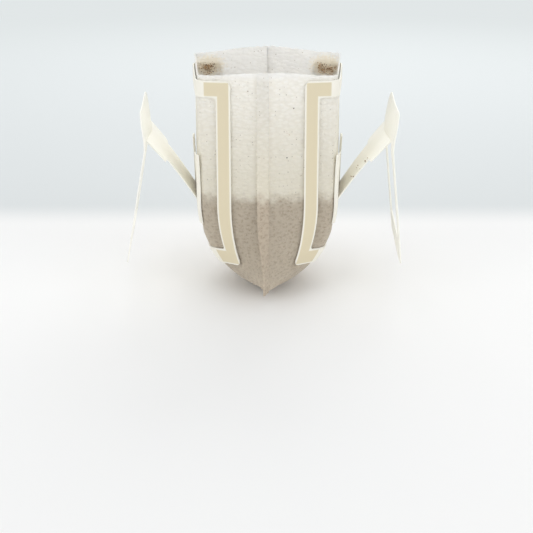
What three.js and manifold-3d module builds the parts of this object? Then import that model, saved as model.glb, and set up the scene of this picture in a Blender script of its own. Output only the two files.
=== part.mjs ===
// A drip coffee bag, opened and pulled out for brewing: a filter pouch of nonwoven, two die-cut cards, coffee.
// Millimetres, +Z up. The origin lies midway between the hangers, a little below their creases. The ears
// point along +X and -X.
// The pouch is a flat bag pulled open: the cards hold its two faces apart as side walls, and its two side
// seams stand in the middle of the front (-Y) and of the back (+Y). Its bottom is a fold along Y.
import * as THREE from 'three';
import Module from 'manifold-3d';

const wasm = await Module();
wasm.setup();

// Thicknesses and the clearances between the pieces
const nonwoven = 0.3;
const cardThickness = 0.35;
const glueGap = 0.3;
const coffeeGap = 0.6;
const cutLine = 0.2;

// Plan of the open mouth, right half: seam, corner, corner, seam
const frontSeamY = -17.5;
const frontCorner = { x: 19.3, y: -14.2, round: 3 };
const backCorner = { x: 21.6, y: 13.5, round: 2 };
const backSeamY = 20;
const seamFin = 3;
const seamFinThickness = 0.6;

// Heights of the torn top edge at the same four places
const tornFrontSeam = 24.4;
const tornFrontCorner = 23.0;
const tornBackCorner = 24.7;
const tornBackSeam = 25.8;

// The walls hang straight down to bendZ, and then draw together to the fold at the bottom
const bendZ = -13.4;
const foldZ = -40;
const foldHalfWidth = 0.9;
const foldHalfLength = 26;
const foldEndLift = 4;
const bellyFullness = 0.6;

// The card, as it is cut out of a flat sheet and glued to a face of the flat bag
const cardTopZ = 21.9;
const cardShift = -1.7;
const frameBar = 4.0;
const frameTopBar = 4.6;
const frameBottomBar = 4.6;
const frameCornerRadius = 1.6;
const windowCornerRadius = 1.0;
const ringWidth = 36;
const ringHeight = 43.8;
const ringBand = 8.3;
const ringLeg = 4.5;
const ringFoot = 7.0;
const ringTopRadius = 4.0;
const ringFootRadius = 1.2;
const headLength = 7.9;
const headCornerRadius = 1.5;
const neckWidth = 18;
const panelFoot = 6.0;
const stripLift = 0.5;

// How the hangers stand once they are pulled out, in millimetres and degrees
const legX = { left: 34.8, right: 35.3 };
const creaseZ = 4.8;
const creasePull = 1.3;
const pullReach = 6;
const bandLean = { left: 7.5, right: 9.5 };
const tailLean = { left: 10.5, right: 5.8 };
const earYaw = { left: 2.6, right: 1.4 };
const tongueBow = 0.4;
const bowAngle = 30;
const turnAbove = 2;
const turnBelow = 5;

// The coffee
const coffeeEdgeZ = -11;
const coffeeHeapZ = -8.5;
const coffeeBottomShare = 0.9;
const heapShoulderShare = 0.5;
const heapShoulderRise = 0.8;

// Fineness of the faceted surfaces
const bellyFacets = 9;

const radians = THREE.MathUtils.degToRad;
const mix = THREE.MathUtils.lerp;

// Half of the pouch's plan as a path from the front seam to the back seam, with rounded corners
function halfPlan(seamA, cornerA, cornerB, seamB) {
  const path = new THREE.Path();
  const stops = [new THREE.Vector2(0, seamA), cornerA, cornerB, new THREE.Vector2(0, seamB)];
  const points = stops.map((p) => new THREE.Vector2(p.x, p.y));
  path.moveTo(points[0].x, points[0].y);
  for (const i of [1, 2]) {
    const before = points[i].clone().add(points[i - 1].clone().sub(points[i]).setLength(stops[i].round));
    const after = points[i].clone().add(points[i + 1].clone().sub(points[i]).setLength(stops[i].round));
    path.lineTo(before.x, before.y);
    path.quadraticCurveTo(points[i].x, points[i].y, after.x, after.y);
  }
  path.lineTo(points[3].x, points[3].y);
  return path;
}

const mouthPlan = halfPlan(frontSeamY, frontCorner, backCorner, backSeamY);
const flatWidth = mouthPlan.getLength();
const pieceEnds = mouthPlan.getCurveLengths().map((length) => length / flatWidth);
const foldCornerY = (share) => mix(-foldHalfLength, foldHalfLength, share);
const foldPlan = halfPlan(
  -foldHalfLength,
  { x: foldHalfWidth, y: foldCornerY((pieceEnds[0] + pieceEnds[1]) / 2), round: 1 },
  { x: foldHalfWidth, y: foldCornerY((pieceEnds[2] + pieceEnds[3]) / 2), round: 1 },
  foldHalfLength,
);

// A point of the right wall's outer face. share runs from the front seam, 0, to the back seam, 1.
function wallPoint(share, z) {
  const s = THREE.MathUtils.clamp(share, 0, 1);
  const depth = THREE.MathUtils.clamp((bendZ - z) / (bendZ - foldZ), 0, 1);
  const open = mouthPlan.getPoint(s);
  const flat = foldPlan.getPoint(s);
  const fullness = Math.pow(1 - depth * depth, bellyFullness);
  const y = mix(open.y, flat.y, depth * depth * (3 - 2 * depth));
  const lift = foldEndLift * depth * depth * (y / foldHalfLength) ** 2;
  return new THREE.Vector3(mix(flat.x, open.x, fullness), y, z + lift);
}

// The same point moved outward by offset, square to the wall
function wallAt(share, z, offset) {
  const stepShare = 0.002;
  const stepZ = 0.05;
  const low = Math.max(z - stepZ, foldZ);
  const before = wallPoint(Math.max(share - stepShare, 0), z);
  const along = wallPoint(Math.min(share + stepShare, 1), z).sub(before);
  const up = wallPoint(share, low + 2 * stepZ).sub(wallPoint(share, low));
  const normal = along.cross(up).normalize();
  return wallPoint(share, z).addScaledVector(normal, offset);
}

// Height of the torn edge at a share of the plan, eased between its four given heights
function tornZ(share) {
  const stops = [0, (pieceEnds[0] + pieceEnds[1]) / 2, (pieceEnds[2] + pieceEnds[3]) / 2, 1];
  const heights = [tornFrontSeam, tornFrontCorner, tornBackCorner, tornBackSeam];
  const i = share < stops[1] ? 0 : share < stops[2] ? 1 : 2;
  const t = THREE.MathUtils.smoothstep(share, stops[i], stops[i + 1]);
  return mix(heights[i], heights[i + 1], t);
}

// Shares of the plan that catch its corners: even steps, with extra ones round both bends
function planShares() {
  const shares = [];
  for (let i = 0; i < 4; i += 1) shares.push(mix(0, pieceEnds[0], i / 4));
  for (let i = 0; i < 4; i += 1) shares.push(mix(pieceEnds[0], pieceEnds[1], i / 4));
  for (let i = 0; i < 6; i += 1) shares.push(mix(pieceEnds[1], pieceEnds[2], i / 6));
  for (let i = 0; i < 3; i += 1) shares.push(mix(pieceEnds[2], pieceEnds[3], i / 3));
  for (let i = 0; i <= 4; i += 1) shares.push(mix(pieceEnds[3], 1, i / 4));
  return shares;
}

// Depths of the rows below the bend, closer together towards the fold
function bellyDepths(last) {
  const quarter = Math.PI / 2;
  return Array.from({ length: bellyFacets }, (_, i) => last * Math.sin(((i + 1) / bellyFacets) * quarter));
}

const depthToZ = (depth) => mix(bendZ, foldZ, depth);

// A closed mesh from rows of rings, each with the same number of points, closed by a fan at both ends
function loft(rings, topMiddle, bottomMiddle) {
  const count = rings[0].length;
  const points = rings.flat();
  const triangles = [];
  for (let row = 0; row + 1 < rings.length; row += 1) {
    for (let i = 0; i < count; i += 1) {
      const a = row * count + i;
      const b = row * count + ((i + 1) % count);
      triangles.push(a, a + count, b, b, a + count, b + count);
    }
  }
  const top = points.push(topMiddle) - 1;
  const bottom = points.push(bottomMiddle) - 1;
  const lastRow = (rings.length - 1) * count;
  for (let i = 0; i < count; i += 1) {
    const next = (i + 1) % count;
    triangles.push(top, i, next, bottom, lastRow + next, lastRow + i);
  }
  return { points, triangles };
}

// Turns points and triangles into a solid whose faces point out
function solidOf({ points, triangles }) {
  let volume = 0;
  for (let i = 0; i < triangles.length; i += 3) {
    const [a, b, c] = [0, 1, 2].map((k) => points[triangles[i + k]]);
    volume += a.dot(b.clone().cross(c));
  }
  const faces = volume > 0 ? triangles : triangles.slice().reverse();
  const vertProperties = new Float32Array(points.flatMap((p) => p.toArray()));
  return new wasm.Manifold(new wasm.Mesh({ numProp: 3, vertProperties, triVerts: new Uint32Array(faces) }));
}

function geometryOf(solid) {
  const mesh = solid.getMesh();
  const geometry = new THREE.BufferGeometry();
  geometry.setAttribute('position', new THREE.BufferAttribute(new Float32Array(mesh.vertProperties), 3));
  geometry.setIndex(new THREE.BufferAttribute(new Uint32Array(mesh.triVerts), 1));
  geometry.computeVertexNormals();
  return geometry;
}

// One ring round the pouch at a height given for each share, moved outward by offset
function pouchRing(shares, heightAt, offset) {
  const right = shares.map((share) => wallAt(share, heightAt(share), offset));
  const left = right.slice(1, -1).reverse().map((p) => new THREE.Vector3(-p.x, p.y, p.z));
  right[0].x = 0;
  right[right.length - 1].x = 0;
  return [...right, ...left];
}

// The same ring with a flat seam fin standing out at the front and at the back
function finnedRing(shares, heightAt) {
  const right = shares.map((share) => wallPoint(share, heightAt(share)));
  const half = seamFinThickness / 2;
  const front = right[0];
  const back = right[right.length - 1];
  const side = [
    new THREE.Vector3(half, front.y - seamFin, front.z),
    new THREE.Vector3(half, front.y, front.z),
    ...right.slice(1, -1),
    new THREE.Vector3(half, back.y, back.z),
    new THREE.Vector3(half, back.y + seamFin, back.z),
  ];
  return [...side, ...side.slice().reverse().map((p) => new THREE.Vector3(-p.x, p.y, p.z))];
}

// The pouch: the outer form with its fins, less the inner form, which runs out through the mouth
function filterPouch() {
  const shares = planShares();
  const upper = [0, 1 / 3, 2 / 3, 1];
  const outerRows = upper.map((t) => (share) => mix(tornZ(share), bendZ, t));
  outerRows.push(...bellyDepths(1).map((depth) => () => depthToZ(depth)));
  const outerRings = outerRows.map((row) => finnedRing(shares, row));
  const outer = solidOf(loft(
    outerRings,
    new THREE.Vector3(0, 0, (tornFrontSeam + tornBackSeam) / 2),
    new THREE.Vector3(0, 0, foldZ),
  ));
  const cutClearance = 5;
  const above = tornBackSeam + cutClearance;
  const innerRows = upper.map((t) => () => mix(above, bendZ, t));
  const innerEnd = 1 - (nonwoven + foldHalfWidth) / (bendZ - foldZ);
  innerRows.push(...bellyDepths(innerEnd).map((depth) => () => depthToZ(depth)));
  const innerRings = innerRows.map((row) => pouchRing(shares, row, -nonwoven));
  const inner = solidOf(loft(
    innerRings,
    new THREE.Vector3(0, 0, above),
    new THREE.Vector3(0, 0, depthToZ(innerEnd)),
  ));
  return geometryOf(outer.subtract(inner));
}

// The coffee fills the bottom of the pouch up to a low heap
function coffeeGrounds() {
  const shares = planShares();
  const rows = [() => coffeeEdgeZ, () => bendZ];
  rows.push(...bellyDepths(coffeeBottomShare).map((depth) => () => depthToZ(depth)));
  const rings = rows.map((row) => pouchRing(shares, row, -nonwoven - coffeeGap));
  const shoulder = rings[0].map((p) => new THREE.Vector3(
    p.x * heapShoulderShare,
    p.y * heapShoulderShare,
    mix(coffeeEdgeZ, coffeeHeapZ, heapShoulderRise),
  ));
  return geometryOf(solidOf(loft(
    [shoulder, ...rings],
    new THREE.Vector3(0, 0, coffeeHeapZ),
    new THREE.Vector3(0, 0, depthToZ(coffeeBottomShare)),
  )));
}

// A sheet of card as rows and columns of cells. columnsAt(v) gives the same number of places across for
// each row, isCard(row, column) says which cells are card, and place(u, v, face) bends the sheet.
function cardSheet(rows, columnsAt, isCard, place) {
  const points = [];
  const triangles = [];
  const lines = rows.map((v) => columnsAt(v));
  const columns = lines[0].length;
  const seen = new Map();
  const corner = (row, column, face) => {
    const key = (row * columns + column) * 2 + face;
    if (!seen.has(key)) seen.set(key, points.push(place(lines[row][column], rows[row], face)) - 1);
    return seen.get(key);
  };
  const there = (row, column) => (
    row >= 0 && column >= 0 && row + 1 < rows.length && column + 1 < columns && isCard(row, column)
  );
  const quad = (a, b, c, d) => triangles.push(a, b, c, a, c, d);
  const sides = [
    { step: [-1, 0], from: [0, 0], to: [0, 1] },
    { step: [0, 1], from: [0, 1], to: [1, 1] },
    { step: [1, 0], from: [1, 1], to: [1, 0] },
    { step: [0, -1], from: [1, 0], to: [0, 0] },
  ];
  for (let row = 0; row + 1 < rows.length; row += 1) {
    for (let column = 0; column + 1 < columns; column += 1) {
      if (!there(row, column)) continue;
      for (const face of [0, 1]) {
        const ring = [[0, 0], [0, 1], [1, 1], [1, 0]].map(([r, c]) => corner(row + r, column + c, face));
        quad(...(face ? ring : ring.reverse()));
      }
      for (const { step, from, to } of sides) {
        if (there(row + step[0], column + step[1])) continue;
        const [a, b] = [from, to].map(([r, c]) => [row + r, column + c]);
        quad(corner(...b, 1), corner(...a, 1), corner(...a, 0), corner(...b, 0));
      }
    }
  }
  return { points, triangles };
}

// How far a rounded corner of the given radius sets an edge back, at a distance from the corner's end
function setBack(radius, distance) {
  if (distance >= radius) return 0;
  return radius - Math.sqrt(radius * radius - (radius - distance) ** 2);
}

const cornerRows = (radius) => [0, 30, 60, 90].map((angle) => radius * (1 - Math.cos(radians(angle))));

const cardCentre = flatWidth / 2 + cardShift;
const shareOf = (u) => (cardCentre + u) / flatWidth;
const mirrored = (points, side) => points.map((p) => (
  side === 'left' ? new THREE.Vector3(-p.x, p.y, p.z) : p
));

// The outer part of the card: a frame glued to the side wall, with its legs round on the front and back
const windowHalf = ringWidth / 2 + cutLine;
const frameHalf = windowHalf + frameBar;
const windowTop = frameTopBar;
const windowBottom = frameTopBar + ringHeight + 2 * cutLine;
const frameHeight = windowBottom + frameBottomBar;

function cardFrame(side) {
  const bends = pieceEnds.slice(0, 4).map((share) => share * flatWidth - cardCentre);
  const across = [
    bends[0], mix(bends[0], bends[1], 1 / 3), mix(bends[0], bends[1], 2 / 3), bends[1],
    0, bends[2], mix(bends[2], bends[3], 1 / 3), mix(bends[2], bends[3], 2 / 3), bends[3],
  ];
  const columnsAt = (v) => {
    const toEnd = Math.min(v, frameHeight - v);
    const outer = frameHalf - setBack(frameCornerRadius, toEnd);
    const inWindow = v >= windowTop && v <= windowBottom;
    const toEdge = Math.min(v - windowTop, windowBottom - v);
    const inner = windowHalf - (inWindow ? setBack(windowCornerRadius, toEdge) : windowCornerRadius);
    return [-outer, -(outer + inner) / 2, -inner, ...across, inner, (outer + inner) / 2, outer];
  };
  const round = cornerRows(frameCornerRadius);
  const small = cornerRows(windowCornerRadius);
  const bendV = cardTopZ - bendZ;
  const belly = bellyDepths(1)
    .map((depth) => cardTopZ - depthToZ(depth))
    .filter((v) => v < windowBottom - 2 * windowCornerRadius);
  const rows = [
    ...round,
    ...small.map((v) => windowTop + v),
    bendV,
    ...belly,
    ...small.slice().reverse().map((v) => windowBottom - v),
    ...round.slice().reverse().map((v) => frameHeight - v),
  ];
  const last = across.length + 3;
  const isCard = (row, column) => {
    const middle = (rows[row] + rows[row + 1]) / 2;
    return column < 2 || column >= last - 1 || middle < windowTop || middle > windowBottom;
  };
  const place = (u, v, face) => wallAt(shareOf(u), cardTopZ - v, glueGap + face * cardThickness);
  const { points, triangles } = cardSheet(rows, columnsAt, isCard, place);
  return geometryOf(solidOf({ points: mirrored(points, side), triangles }));
}

// The inner part of the card: a ring that is pulled out to hang the bag by, with a tongue that is cut out of
// its middle. The tongue joins the ring at the crease and the glued panel at the hinge.
function hanger(side) {
  const blankTopZ = cardTopZ - frameTopBar - cutLine;
  const headEnd = ringBand + headLength;
  const holeHalf = ringWidth / 2 - ringLeg;
  const holeEnd = ringHeight - ringFoot;
  const panelEnd = holeEnd - cutLine;
  const panelHalf = holeHalf - cutLine;
  const neckHalf = neckWidth / 2;
  const hinge = panelEnd - panelFoot;
  const lean = { band: radians(bandLean[side]), tail: radians(tailLean[side]) };
  const yaw = Math.tan(radians(earYaw[side]));

  // The ring leans out above the crease, and its legs lean out again below it. The tongue pulls the middle
  // of the band in at the crease.
  const steps = 40;
  const profile = [new THREE.Vector2(0, 0)];
  for (let i = 1; i <= steps; i += 1) {
    const v = ((i - 0.5) / steps) * ringHeight;
    const turn = THREE.MathUtils.smoothstep(v, ringBand - turnAbove, ringBand + turnBelow);
    const angle = mix(-lean.band, lean.tail, turn);
    const before = profile[i - 1];
    const step = ringHeight / steps;
    profile.push(new THREE.Vector2(before.x + Math.sin(angle) * step, before.y - Math.cos(angle) * step));
  }
  const along = (v) => {
    const at = THREE.MathUtils.clamp((v / ringHeight) * steps, 0, steps - 1e-6);
    const i = Math.floor(at);
    return profile[i].clone().lerp(profile[i + 1], at - i);
  };
  const atCrease = along(ringBand);
  const ring = (u, v) => {
    const p = along(v).sub(atCrease);
    const reach = THREE.MathUtils.smoothstep(Math.abs(u), 0, ringWidth / 2);
    const pull = creasePull * (1 - reach) * Math.exp(-(((v - ringBand) / pullReach) ** 2));
    return new THREE.Vector3(legX[side] + p.x - pull + yaw * u, u, creaseZ + p.y);
  };
  const panel = (u, v) => {
    const free = Math.max(0, (hinge - v) / (hinge - headEnd));
    return wallAt(shareOf(u), blankTopZ - v, glueGap + stripLift * free * free);
  };
  const tongue = (u, v) => {
    const t = (v - ringBand) / (hinge - ringBand);
    const p = ring(u, ringBand).lerp(panel(u, hinge), t);
    const bow = tongueBow * 4 * t * (1 - t);
    return p.add(new THREE.Vector3(-bow * Math.cos(radians(bowAngle)), 0, bow * Math.sin(radians(bowAngle))));
  };
  const normalOf = (surface, u, v) => {
    const step = 0.05;
    const across = surface(u + step, v).sub(surface(u - step, v));
    const down = surface(u, v + step).sub(surface(u, v - step));
    return down.cross(across).normalize();
  };
  const tiny = 1e-6;
  const place = (u, v, face) => {
    const inHole = Math.abs(u) < holeHalf - tiny && v > ringBand + tiny && v < holeEnd - tiny;
    const onTongue = inHole && (v < headEnd + tiny || (Math.abs(u) < neckHalf + tiny && v < hinge - tiny));
    const surface = onTongue ? tongue : inHole ? panel : ring;
    const normal = normalOf(surface, u, v);
    const onCrease = Math.abs(v - ringBand) < tiny && Math.abs(u) < holeHalf - tiny;
    const onHinge = inHole && Math.abs(v - hinge) < tiny && Math.abs(u) < neckHalf + tiny;
    if (onCrease || onHinge) normal.add(normalOf(tongue, u, v)).normalize();
    return surface(u, v).addScaledVector(normal, face * cardThickness);
  };
  const columnsAt = (v) => {
    const outer = ringWidth / 2
      - setBack(ringTopRadius, v)
      - setBack(ringFootRadius, ringHeight - v);
    const inTongue = v > ringBand && v < headEnd + tiny;
    const head = panelHalf - (inTongue ? setBack(headCornerRadius, headEnd - v) : 0);
    const strip = neckHalf + cutLine;
    const half = [neckHalf / 2, neckHalf, strip, mix(strip, head, 1 / 3), mix(strip, head, 2 / 3), head];
    half.push(holeHalf, (holeHalf + outer) / 2, outer);
    return [...half.slice().reverse().map((u) => -u), 0, ...half];
  };
  const rows = [
    ...cornerRows(ringTopRadius),
    (ringTopRadius + ringBand) / 2,
    ringBand,
    mix(ringBand, headEnd, 0.3),
    mix(ringBand, headEnd, 0.6),
    ...cornerRows(headCornerRadius).reverse().map((v) => headEnd - v),
    headEnd + cutLine,
    mix(headEnd, hinge, 0.25),
    mix(headEnd, hinge, 0.5),
    mix(headEnd, hinge, 0.75),
    hinge,
    (hinge + panelEnd) / 2,
    panelEnd,
    holeEnd,
    mix(holeEnd, ringHeight, 0.5),
    ...cornerRows(ringFootRadius).reverse().map((v) => ringHeight - v),
  ];
  const isCard = (row, column) => {
    const v = (rows[row] + rows[row + 1]) / 2;
    const fromMiddle = column < 9 ? 8 - column : column - 9;
    if (fromMiddle >= 7 || v < ringBand || v > holeEnd) return true;
    if (v > panelEnd || fromMiddle === 6) return false;
    if (v < headEnd) return true;
    if (v < headEnd + cutLine) return fromMiddle < 2;
    if (v < hinge) return fromMiddle !== 2;
    return true;
  };
  const { points, triangles } = cardSheet(rows, columnsAt, isCard, place);
  return geometryOf(solidOf({ points: mirrored(points, side), triangles }));
}

const matt = (color, roughness) => new THREE.MeshStandardMaterial({ color, roughness, metalness: 0 });
const nonwovenMaterial = matt(0xeae6dc, 0.95);
const cardMaterial = matt(0xf4f0e2, 0.7);
const coffeeMaterial = matt(0x5a3b25, 0.9);

function named(name, geometry, material) {
  const mesh = new THREE.Mesh(geometry, material);
  mesh.name = name;
  return mesh;
}

const bag = new THREE.Group();
bag.add(named('filter_pouch', filterPouch(), nonwovenMaterial));
bag.add(named('coffee_grounds', coffeeGrounds(), coffeeMaterial));
for (const side of ['left', 'right']) {
  bag.add(named(`card_frame_${side}`, cardFrame(side), cardMaterial));
  bag.add(named(`hanger_${side}`, hanger(side), cardMaterial));
}

export default bag;
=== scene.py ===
"""A drip coffee bag, opened and pulled out for brewing: nonwoven pouch, die-cut cards, ground coffee."""

import bpy
import numpy as np
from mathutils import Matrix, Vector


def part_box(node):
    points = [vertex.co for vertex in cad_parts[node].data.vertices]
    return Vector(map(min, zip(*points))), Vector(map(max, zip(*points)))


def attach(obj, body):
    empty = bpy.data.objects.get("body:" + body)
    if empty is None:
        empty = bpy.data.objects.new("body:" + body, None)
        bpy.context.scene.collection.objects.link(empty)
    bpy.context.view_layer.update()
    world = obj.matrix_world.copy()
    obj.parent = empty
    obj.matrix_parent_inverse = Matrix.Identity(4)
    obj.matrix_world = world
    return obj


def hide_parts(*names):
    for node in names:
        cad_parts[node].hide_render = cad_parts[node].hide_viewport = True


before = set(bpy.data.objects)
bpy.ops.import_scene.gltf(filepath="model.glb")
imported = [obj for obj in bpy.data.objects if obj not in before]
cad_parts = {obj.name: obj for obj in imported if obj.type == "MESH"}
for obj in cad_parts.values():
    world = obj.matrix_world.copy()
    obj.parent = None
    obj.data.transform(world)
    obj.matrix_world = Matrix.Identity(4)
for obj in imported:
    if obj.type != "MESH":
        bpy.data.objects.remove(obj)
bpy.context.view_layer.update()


# The filter pouch.
# One sheet of spunlaid nonwoven, point-bonded by a heated roller, folded at the bottom and heat-sealed
# along both sides. It was torn open at its perforation, and the cards hold its two faces apart.
# Lengths are in millimetres. MM makes metres of them, and MAP the centimetres of a cloth or card map.
MM = 0.001
MAP = 0.1
CLOTH = 0.26
FRONT_SEAM_Y, BACK_SEAM_Y = -17.5, 20.0
FRONT_CORNER, FRONT_ROUND = np.array([19.3, -14.2]), 3.0
BACK_CORNER, BACK_ROUND = np.array([21.6, 13.5]), 2.0
CORNER_POINTS = 60
TORN_HEIGHTS = (24.4, 23.0, 24.7, 25.8)
EDGE_RIPPLE, EDGE_SWAY = 0.14, 0.12
BEND_Z, FOLD_Z = -13.4, -40.0
FOLD_HALF_WIDTH, FOLD_HALF_LENGTH, FOLD_END_LIFT, FOLD_ROUND = 0.9, 26.0, 4.0, 1.0
FOLD_DEPTH, FOLD_NARROWING, FOLD_RISE = 0.25, 0.55, 0.3
FULLNESS = 0.6
CARD_TOP_Z, CARD_OFF_CENTRE = 21.9, 1.7
BILLOW, SAG, BULGE, PUCKER = 0.35, 0.12, 0.3, 0.1
LIP, LIP_REACH = 0.45, 0.9
SEAM_HOLD, CARD_HOLD = (0.03, 0.11), (22.5, 28)
SAG_DEPTHS, BULGE_DEPTHS, BULGE_ACROSS = (14, 30, 36, 40), (19.8, 23, 26, 30), (14, 17.8)
FOLD_DEPTHS = (36, 40)
SHARE_STEP, HEIGHT_STEP = 0.002, 0.1
LEAST_X = 0.02


def smooth(value, low, high):
    """Eases from 0 at low to 1 at high: 3t squared less 2t cubed."""
    t = np.clip((value - low) / (high - low), 0, 1)
    return t * t * (3 - 2 * t)


def half_plan(points, rounds):
    """Half of a plan from seam to seam as a dense line: straights, with each corner a quadratic curve."""
    points = [np.array(p, float) for p in points]
    t = np.linspace(0, 1, CORNER_POINTS)[:, None]
    line = [points[0][None]]
    for i in (1, 2):
        before, corner, after = points[i - 1], points[i], points[i + 1]
        start = corner + (before - corner) / np.linalg.norm(before - corner) * rounds[i - 1]
        end = corner + (after - corner) / np.linalg.norm(after - corner) * rounds[i - 1]
        line.append((1 - t) ** 2 * start + 2 * t * (1 - t) * corner + t**2 * end)
    line.append(points[3][None])
    line = np.concatenate(line)
    run = np.concatenate([[0], np.cumsum(np.linalg.norm(np.diff(line, axis=0), axis=1))])
    return line, run


MOUTH, MOUTH_RUN = half_plan(
    [(0, FRONT_SEAM_Y), FRONT_CORNER, BACK_CORNER, (0, BACK_SEAM_Y)], (FRONT_ROUND, BACK_ROUND)
)
FLAT_WIDTH = MOUTH_RUN[-1]
CARD_CENTRE = FLAT_WIDTH / 2 - CARD_OFF_CENTRE
CORNER_MIDDLES = np.array([CORNER_POINTS // 2, CORNER_POINTS + CORNER_POINTS // 2 + 1])
CORNER_SHARES = MOUTH_RUN[CORNER_MIDDLES] / FLAT_WIDTH
FOLD_CORNERS = FOLD_HALF_LENGTH * (2 * CORNER_SHARES - 1)
FOLD, FOLD_RUN = half_plan(
    [(0, -FOLD_HALF_LENGTH), (FOLD_HALF_WIDTH, FOLD_CORNERS[0]), (FOLD_HALF_WIDTH, FOLD_CORNERS[1]),
     (0, FOLD_HALF_LENGTH)], (FOLD_ROUND, FOLD_ROUND)
)


def wall_point(share, z):
    """The right wall: below the bend the mouth's plan blends into the fold's, across by a super-ellipse."""
    share, z = np.broadcast_arrays(np.clip(share, 0, 1), z)
    depth = np.clip((BEND_Z - z) / (BEND_Z - FOLD_Z), 0, 1)
    open_xy = [np.interp(share * FLAT_WIDTH, MOUTH_RUN, MOUTH[:, k]) for k in (0, 1)]
    flat_xy = [np.interp(share * FOLD_RUN[-1], FOLD_RUN, FOLD[:, k]) for k in (0, 1)]
    full = (1 - depth**2) ** FULLNESS
    x = flat_xy[0] + (open_xy[0] - flat_xy[0]) * full
    y = open_xy[1] + (flat_xy[1] - open_xy[1]) * depth**2 * (3 - 2 * depth)
    lift = FOLD_END_LIFT * depth**2 * (y / FOLD_HALF_LENGTH) ** 2
    return np.stack([x, y, z + lift], axis=-1)


def wall(share, z, offset):
    """A point of the wall moved outward by offset along the cross product of its two tangents."""
    low = np.maximum(z - HEIGHT_STEP / 2, FOLD_Z)
    ahead, behind = np.minimum(share + SHARE_STEP, 1), np.maximum(share - SHARE_STEP, 0)
    along = wall_point(ahead, z) - wall_point(behind, z)
    up = wall_point(share, low + HEIGHT_STEP) - wall_point(share, low)
    normal = np.cross(along, up)
    normal /= np.linalg.norm(normal, axis=-1, keepdims=True)
    return wall_point(share, z) + normal * np.asarray(offset)[..., None]


def torn_z(share):
    """Height of the torn edge, eased between its values at the seams and corners."""
    stops = [0, CORNER_SHARES[0], CORNER_SHARES[1], 1]
    height = np.full(np.shape(share), TORN_HEIGHTS[0], float)
    for i in range(3):
        height += (TORN_HEIGHTS[i + 1] - TORN_HEIGHTS[i]) * smooth(share, stops[i], stops[i + 1])
    return height


def waves(a, b, seed, count=7, low=0.02, high=0.09):
    """A smooth random field of two lengths in millimetres: a sum of sine waves, about -1 to 1."""
    draw = np.random.default_rng(seed)
    field = 0.0
    for _ in range(count):
        way, pitch, phase = draw.uniform(0, np.pi), draw.uniform(low, high), draw.uniform(0, 2 * np.pi)
        field = field + np.sin(2 * np.pi * pitch * (a * np.cos(way) + b * np.sin(way)) + phase)
    return field / np.sqrt(count) / 1.4


def placed(name, data):
    """A new object at the origin that holds a mesh, a lamp or a camera."""
    thing = bpy.data.objects.new(name, data)
    bpy.context.scene.collection.objects.link(thing)
    return thing


def mesh_piece(name, points, quads, materials, face_material=None, uv=None, smooth_angle=0.6):
    """A mesh object from arrays: points in millimetres, faces of four, and a map value for each point."""
    used, quads = np.unique(quads, return_inverse=True)
    quads = quads.reshape(-1, 4).astype(np.int32)
    points = points.reshape(-1, 3)[used]
    mesh = bpy.data.meshes.new(name)
    mesh.vertices.add(len(points))
    mesh.vertices.foreach_set("co", (points * MM).astype(np.float32).ravel())
    mesh.loops.add(quads.size)
    mesh.loops.foreach_set("vertex_index", quads.ravel())
    mesh.polygons.add(len(quads))
    mesh.polygons.foreach_set("loop_start", np.arange(0, quads.size, 4, dtype=np.int32))
    for material in materials:
        mesh.materials.append(material)
    if face_material is not None:
        mesh.polygons.foreach_set("material_index", np.asarray(face_material, np.int32))
    if uv is not None:
        layer = mesh.uv_layers.new(name="cloth")
        layer.data.foreach_set("uv", uv.reshape(-1, 2)[used][quads.ravel()].astype(np.float32).ravel())
    mesh.polygons.foreach_set("use_smooth", np.ones(len(quads), bool))
    mesh.update(calc_edges=True)
    mesh.validate()
    mesh.set_sharp_from_angle(angle=smooth_angle)
    return placed(name, mesh)


def band(value, low, full, fading, gone):
    """Eases from 0 at low to 1 at full, and back to 0 between fading and gone."""
    return smooth(value, low, full) * (1 - smooth(value, fading, gone))


def round_the_bag(columns):
    """Columns once round the bag: shares of the half plan, and 1 on the right, -1 left, 0 at a seam."""
    half = np.linspace(0, 1, columns)
    share = np.concatenate([half, half[-2:0:-1]])
    side = np.concatenate([np.ones(columns), -np.ones(columns - 2)])
    side[[0, columns - 1]] = 0
    return share, side


def wall_relief(share, run, z, edge):
    """How far the cloth stands off the plain wall: it billows and sags where no card or seam holds it,
    bulges out between the glued panel and the frame's foot, draws in beside the cards, and curls at its
    torn edge."""
    across = np.abs(share * FLAT_WIDTH - CARD_CENTRE)
    from_seam = smooth(np.minimum(share, 1 - share), *SEAM_HOLD)
    free = smooth(across, *CARD_HOLD) * from_seam
    sag = free * band(-z, *SAG_DEPTHS)
    bulge = (1 - smooth(across, *BULGE_ACROSS)) * band(-z, *BULGE_DEPTHS)
    billow = BILLOW * free * waves(run, z, 11) - SAG * sag * (1 + waves(run, z, 12)) + BULGE * bulge
    pucker = -PUCKER * (1 + waves(run, z, 13, 9, 0.08, 0.22)) * smooth(across, 17, 18) * (1 - free)
    at_edge = np.exp(-(edge - z) / LIP_REACH) * smooth(across, 15, 24) * from_seam
    lip = LIP * at_edge * (0.6 + 0.7 * waves(run, 0 * z, 14, 5, 0.04, 0.2))
    return billow + pucker + lip - 0.02


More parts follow.
